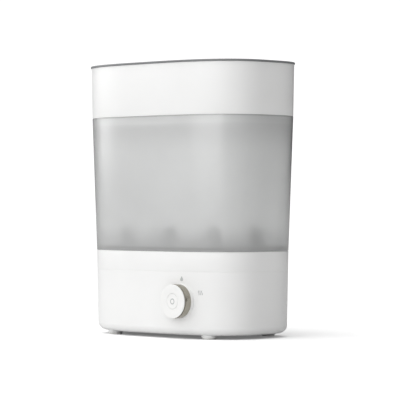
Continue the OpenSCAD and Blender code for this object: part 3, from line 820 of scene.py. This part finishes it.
def flatten_seat(obj):
    """Presses the wall behind the knob's seat back, so that only the seat shows there."""
    bm = bmesh.new()
    bm.from_mesh(obj.data)

    def reach(point):
        return math.hypot(point.x - KNOB_X, point.z - KNOB_Z)

    near = []
    for face in bm.faces:
        middle = face.calc_center_median()
        if middle.y < -50 * MM and reach(middle) < SEAT_R + 6 * MM:
            near.append(face)
    edges = list({e for f in near for e in f.edges})
    bmesh.ops.subdivide_edges(bm, edges=edges, cuts=3, use_grid_fill=True)
    pressed_r = SEAT_R + 1.2 * MM
    for v in bm.verts:
        if v.co.y < SEAT_Y and reach(v.co) < pressed_r:
            blend = min(1.0, max(0.0, (pressed_r - reach(v.co)) / (1.4 * MM)))
            blend = blend * blend * (3 - 2 * blend)
            v.co.y += (SEAT_Y + 0.25 * MM - v.co.y) * blend
    bm.to_mesh(obj.data)
    bm.free()
    smooth(obj, 45)


def hole_bm(x, z, radius, y0, y1, count=48):
    """Round tool along Y."""
    bm = bmesh.new()
    outline = round_outline(x, z, radius, count)
    rows = [[bm.verts.new((u, y, v)) for u, v in outline] for y in (y0, y1)]
    for i in range(count):
        k = (i + 1) % count
        bm.faces.new((rows[0][i], rows[0][k], rows[1][k], rows[1][i]))
    bm.faces.new(rows[0])
    bm.faces.new(rows[1])
    return bm


def make_pocket(mats, lo, hi):
    """Four walls behind the filter cover."""
    pocket = new_mesh("filter_pocket", box_bm(
        (lo[0] - WALL, lo[1], lo[2] - WALL),
        (hi[0] + WALL, half_depth(hi[0] + WALL, lo[2], WALL), hi[2] + WALL)))
    boolean(pocket, [box_bm((lo[0], lo[1] - CUT_PAST, lo[2]), hi)])
    settle(pocket, "base", mats["inner_white"], "white_plastic")


def make_knob_seat(mats):
    """Flat round seat that the knob turns on."""
    front = SEAT_Y
    back = SEAT_Y + 9 * MM
    thick = 2.4 * MM
    profile = rounded([
        (SHAFT_HOLE_R, front, 0.3 * MM),
        (SEAT_R, front, 0.8 * MM),
        (SEAT_R, back, 0.3 * MM),
        (SEAT_R - thick, back, 0.3 * MM),
        (SEAT_R - thick, front + thick, 0.8 * MM),
        (SHAFT_HOLE_R, front + thick, 0.3 * MM),
    ], steps=4)
    seat = turned("knob_seat", (KNOB_X, KNOB_Z), "Y", profile, 128)
    settle(seat, "base", mats["white"], "white_plastic")


FEET = ["foot_front_left", "foot_front_right", "foot_back_left", "foot_back_right"]


def make_foot_pads(mats):
    """Moulded pads under the base, with a soft foot let into each."""
    pad_r = 10.2 * MM
    pad_z = 2 * MM
    for name in FEET:
        lo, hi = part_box(name)
        centre = ((lo.x + hi.x) / 2, (lo.y + hi.y) / 2)
        rubber_r = (hi.x - lo.x) / 2
        pad = turned(name + "_pad", centre, "Z", disc_profile([
            (0, pad_z, 0),
            (pad_r - 0.5 * MM, pad_z, 0.9 * MM),
            (pad_r + 0.2 * MM, UNDER_Z + 7 * MM, 0.5 * MM),
            (0, UNDER_Z + 7 * MM, 0),
        ]), 64)
        settle(pad, "base", mats["white"], "white_plastic")
        foot = turned(name + "_rubber", centre, "Z", disc_profile([
            (0, FLOOR_Z + 0.5 * MM, 0),
            (rubber_r * 0.45, FLOOR_Z + 0.5 * MM, 0.3 * MM),
            (rubber_r * 0.55, FLOOR_Z, 0.3 * MM),
            (rubber_r, FLOOR_Z, 0.8 * MM),
            (rubber_r, pad_z + 0.1 * MM, 0.2 * MM),
            (0, pad_z + 0.1 * MM, 0),
        ]), 64)
        settle(foot, "base", mats["rubber"], "foot_rubber", name)


# ---------- knob and symbols ----------

BUTTON_R = 9.6 * MM


def make_knob(mats):
    """Metal ring with a white face, parted by a groove."""
    centre = (KNOB_X, KNOB_Z)
    groove = (KNOB_FRONT + 1.2 * MM, KNOB_FRONT + 2.8 * MM)
    groove_r = KNOB_R - 1.7 * MM
    ring_in = KNOB_R - 2.4 * MM
    ring = turned("knob_ring_turned", centre, "Y", rounded([
        (groove_r + 0.05 * MM, groove[1], 0.1 * MM),
        (KNOB_R, groove[1], 0.3 * MM),
        (KNOB_R, KNOB_BACK, 0.5 * MM),
        (ring_in, KNOB_BACK, 0.3 * MM),
        (ring_in, groove[1] + 1.2 * MM, 0.2 * MM),
        (groove_r + 0.05 * MM, groove[1] + 1.2 * MM, 0.1 * MM),
    ], steps=4), 192)
    settle(ring, "knob", mats["knob_metal"], "knob_metal", "knob_ring")

    face_hi = high("knob_face")
    face_r = KNOB_R - 0.3 * MM
    inner_r = ring_in - 0.1 * MM
    hole_r = BUTTON_R + 0.28 * MM
    rotor_r = 7.5 * MM
    web = SEAT_Y - 4.5 * MM
    face = turned("knob_face_turned", centre, "Y", rounded([
        (hole_r, KNOB_FRONT + 0.25 * MM, 0.3 * MM),
        (face_r * 0.9, KNOB_FRONT, 4 * MM),
        (face_r, KNOB_FRONT + 0.05 * MM, 0.5 * MM),
        (face_r, groove[0], 0.2 * MM),
        (groove_r, groove[0], 0.1 * MM),
        (groove_r, groove[1] + 1.2 * MM, 0.1 * MM),
        (inner_r, groove[1] + 1.2 * MM, 0.1 * MM),
        (inner_r, web + 2 * MM, 0.4 * MM),
        (rotor_r, web + 2 * MM, 0.4 * MM),
        (rotor_r, face_hi.y, 0.3 * MM),
        (rotor_r - 2 * MM, face_hi.y, 0.3 * MM),
        (rotor_r - 2 * MM, web, 0.3 * MM),
        (hole_r, web, 0.4 * MM),
    ], steps=4), 160)
    settle(face, "knob", mats["knob_white"], "knob_white", "knob_face")


def make_start_button(mats):
    """Push button in the middle of the knob, with a ring let into it."""
    centre = (KNOB_X, KNOB_Z)
    button_lo, button_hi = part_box("start_button")
    cap = 2.6 * MM
    stem_r = 2.4 * MM
    front = button_lo.y
    stem_end = button_hi.y - 0.1 * MM
    button = turned("start_button_turned", centre, "Y", disc_profile([
        (0, front + 0.35 * MM, 0),
        (BUTTON_R * 0.7, front + 0.25 * MM, 6 * MM),
        (BUTTON_R, front + 0.2 * MM, 0.45 * MM),
        (BUTTON_R, front + cap, 0.3 * MM),
        (stem_r, front + cap, 0.3 * MM),
        (stem_r, stem_end, 0.3 * MM),
        (0, stem_end, 0),
    ]), 128)
    settle(button, "start_button", mats["knob_white"], "knob_white", "start_button")
    symbol = turned("start_symbol", centre, "Y", rounded([
        (2.45 * MM, front + 0.27 * MM, 0.02 * MM),
        (3.8 * MM, front + 0.27 * MM, 0.02 * MM),
        (3.8 * MM, front + 0.6 * MM, 0),
        (2.45 * MM, front + 0.6 * MM, 0),
    ], steps=2), 96)
    settle(symbol, "start_button", mats["symbol"], "icon_grey")


def drop_outline(size):
    """Outline of a falling drop, pointed at the top."""
    points = []
    for i in range(40):
        t = 2 * math.pi * i / 40
        width = math.sin(t) * math.sin(t / 2) ** 1.4
        points.append((size * 0.5 * width, size * 0.5 * math.cos(t)))
    return points


def wave_outline(size, shift):
    """Outline of one rising wave of warm air."""
    steps = 18
    half = size * 0.085
    points = []
    for side in (1, -1):
        for k in range(steps + 1):
            s = k / steps if side == 1 else 1 - k / steps
            u = shift + size * 0.1 * math.sin(2 * math.pi * s) + side * half
            points.append((u, size * (s - 0.5)))
    return points


def inlay_bm(outline, x, z, proud, depth):
    """Thin inlay that follows the front wall about (x, z)."""
    bm = bmesh.new()
    rows = []
    for out in (proud, -depth):
        rows.append([bm.verts.new((x + u, -half_depth(x + u, z + v) - out, z + v)) for u, v in outline])
    n = len(outline)
    for i in range(n):
        k = (i + 1) % n
        bm.faces.new((rows[0][i], rows[0][k], rows[1][k], rows[1][i]))
    bm.faces.new(rows[0])
    bm.faces.new(rows[1])
    return bm


def make_icons(mats):
    """Mode symbols: a drop for steam and three waves for warm air."""
    lens_r = 2.6 * MM
    lo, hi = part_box("icon_lenses")
    size = 6.4 * MM
    steam = (lo.x + lens_r, hi.z - lens_r)
    dry = (hi.x - lens_r, lo.z + lens_r)
    proud, depth = 0.12 * MM, 0.6 * MM
    drop = new_mesh("steam_symbol", inlay_bm(drop_outline(size), *steam, proud, depth))
    waves = new_mesh("dry_symbol", join_bm([
        inlay_bm(wave_outline(size * 0.9, s * size * 0.33), *dry, proud, depth) for s in (-1, 0, 1)]))
    settle(drop, "base", mats["symbol"], "icon_grey", "icon_lenses")
    settle(waves, "base", mats["symbol"], "icon_grey")


# ---------- studio ----------

# Strength of the white that the camera sees behind the object
BACKDROP = 1.1


def add_light(name, location, target, size, power, size_y=None):
    """Soft rectangular lamp that faces the target."""
    data = bpy.data.lights.new(name, "AREA")
    data.shape = "RECTANGLE"
    data.size = size
    data.size_y = size_y or size
    data.energy = power
    light = bpy.data.objects.new(name, data)
    bpy.context.scene.collection.objects.link(light)
    light.location = location
    light.rotation_euler = (Vector(target) - Vector(location)).to_track_quat("-Z", "Y").to_euler()
    return light


def make_floor():
    """Pale floor round the object."""
    bm = bmesh.new()
    bmesh.ops.create_grid(bm, x_segments=2, y_segments=2, size=12.0)
    for v in bm.verts:
        v.co.z = FLOOR_Z
    floor = new_mesh("studio_floor", bm)
    paint(floor, floor_material())


def floor_material():
    """Pale grey that fades to the plain white of the backdrop away from the object."""
    material, nodes, links, bsdf = shader("studio_floor")
    coords = nodes.new("ShaderNodeTexCoord")
    slow = add_noise(nodes, links, coords, 2.0)
    mix = tint(nodes, links, slow.outputs["Fac"], (0.74, 0.74, 0.74), (0.76, 0.76, 0.76))
    links.new(mix.outputs["Result"], bsdf.inputs["Base Color"])
    bsdf.inputs["Roughness"].default_value = 0.6
    seen = nodes.new("ShaderNodeBsdfDiffuse")
    seen.inputs["Color"].default_value = (1.25, 1.25, 1.25, 1)
    far = nodes.new("ShaderNodeEmission")
    far.inputs["Strength"].default_value = BACKDROP
    distance = nodes.new("ShaderNodeVectorMath")
    distance.operation = "LENGTH"
    links.new(coords.outputs["Object"], distance.inputs[0])
    fade = nodes.new("ShaderNodeMapRange")
    fade.interpolation_type = "SMOOTHSTEP"
    fade.inputs["From Min"].default_value = 0.3
    fade.inputs["From Max"].default_value = 0.9
    fade.inputs["To Min"].default_value = 0.12
    links.new(distance.outputs["Value"], fade.inputs["Value"])
    path = nodes.new("ShaderNodeLightPath")
    in_view = switch(nodes, links, fade.outputs["Result"], seen, far)
    floor = switch(nodes, links, path.outputs["Is Camera Ray"], bsdf, in_view)
    links.new(floor.outputs[0], nodes["Material Output"].inputs["Surface"])
    return material


def room_light(nodes, links, coords, brightest, dark, bright, reach):
    """White light that grows from dark to bright towards one side, over that reach either way."""
    light = nodes.new("ShaderNodeBackground")
    light.inputs["Color"].default_value = (1, 1, 1, 1)
    side = nodes.new("ShaderNodeVectorMath")
    side.operation = "DOT_PRODUCT"
    side.inputs[1].default_value = Vector(brightest).normalized()
    links.new(coords.outputs["Generated"], side.inputs[0])
    level = nodes.new("ShaderNodeMapRange")
    level.inputs["From Min"].default_value = -reach
    level.inputs["From Max"].default_value = reach
    level.inputs["To Min"].default_value = dark
    level.inputs["To Max"].default_value = bright
    links.new(side.outputs["Value"], level.inputs["Value"])
    links.new(level.outputs["Result"], light.inputs["Strength"])
    return light


def make_world():
    """White room, bright in front and dim behind, with its own light seen through the frosted wall."""
    world = bpy.data.worlds.new("studio")
    bpy.context.scene.world = world
    world.use_nodes = True
    nodes, links = world.node_tree.nodes, world.node_tree.links
    coords = nodes.new("ShaderNodeTexCoord")
    room = room_light(nodes, links, coords, (0.0, -0.93, 0.35), 0.02, 0.95, 0.9)
    through = room_light(nodes, links, coords, (0.7, 0.7, 0.0), 0.22, 0.95, 0.4)
    backdrop = nodes["Background"]
    backdrop.inputs["Color"].default_value = (1, 1, 1, 1)
    backdrop.inputs["Strength"].default_value = BACKDROP
    path = nodes.new("ShaderNodeLightPath")
    around = switch(nodes, links, path.outputs["Is Transmission Ray"], room, through)
    whole = switch(nodes, links, path.outputs["Is Camera Ray"], around, backdrop)
    links.new(whole.outputs[0], nodes["World Output"].inputs["Surface"])


def make_studio():
    """Floor, room and three soft lamps."""
    make_floor()
    make_world()
    body_middle = (0, 0, 0.15)
    add_light("key", (0.35, -2.6, 0.9), body_middle, 2.4, 14, 1.4)
    add_light("left", (-2.05, -0.8, 0.85), body_middle, 0.8, 5.8, 1.2)
    add_light("top", (-0.2, -0.2, 2.4), (0, 0, 0), 1.8, 22)
    bpy.context.scene.view_settings.view_transform = "Standard"


# ---------- assembly ----------

add_camera()
materials = make_materials()
finish_cad_nodes(materials)
make_lid(materials)
make_small_basket(materials)
make_large_basket(materials)
make_collar(materials)
make_housing(materials)
make_knob(materials)
make_start_button(materials)
make_icons(materials)
make_studio()
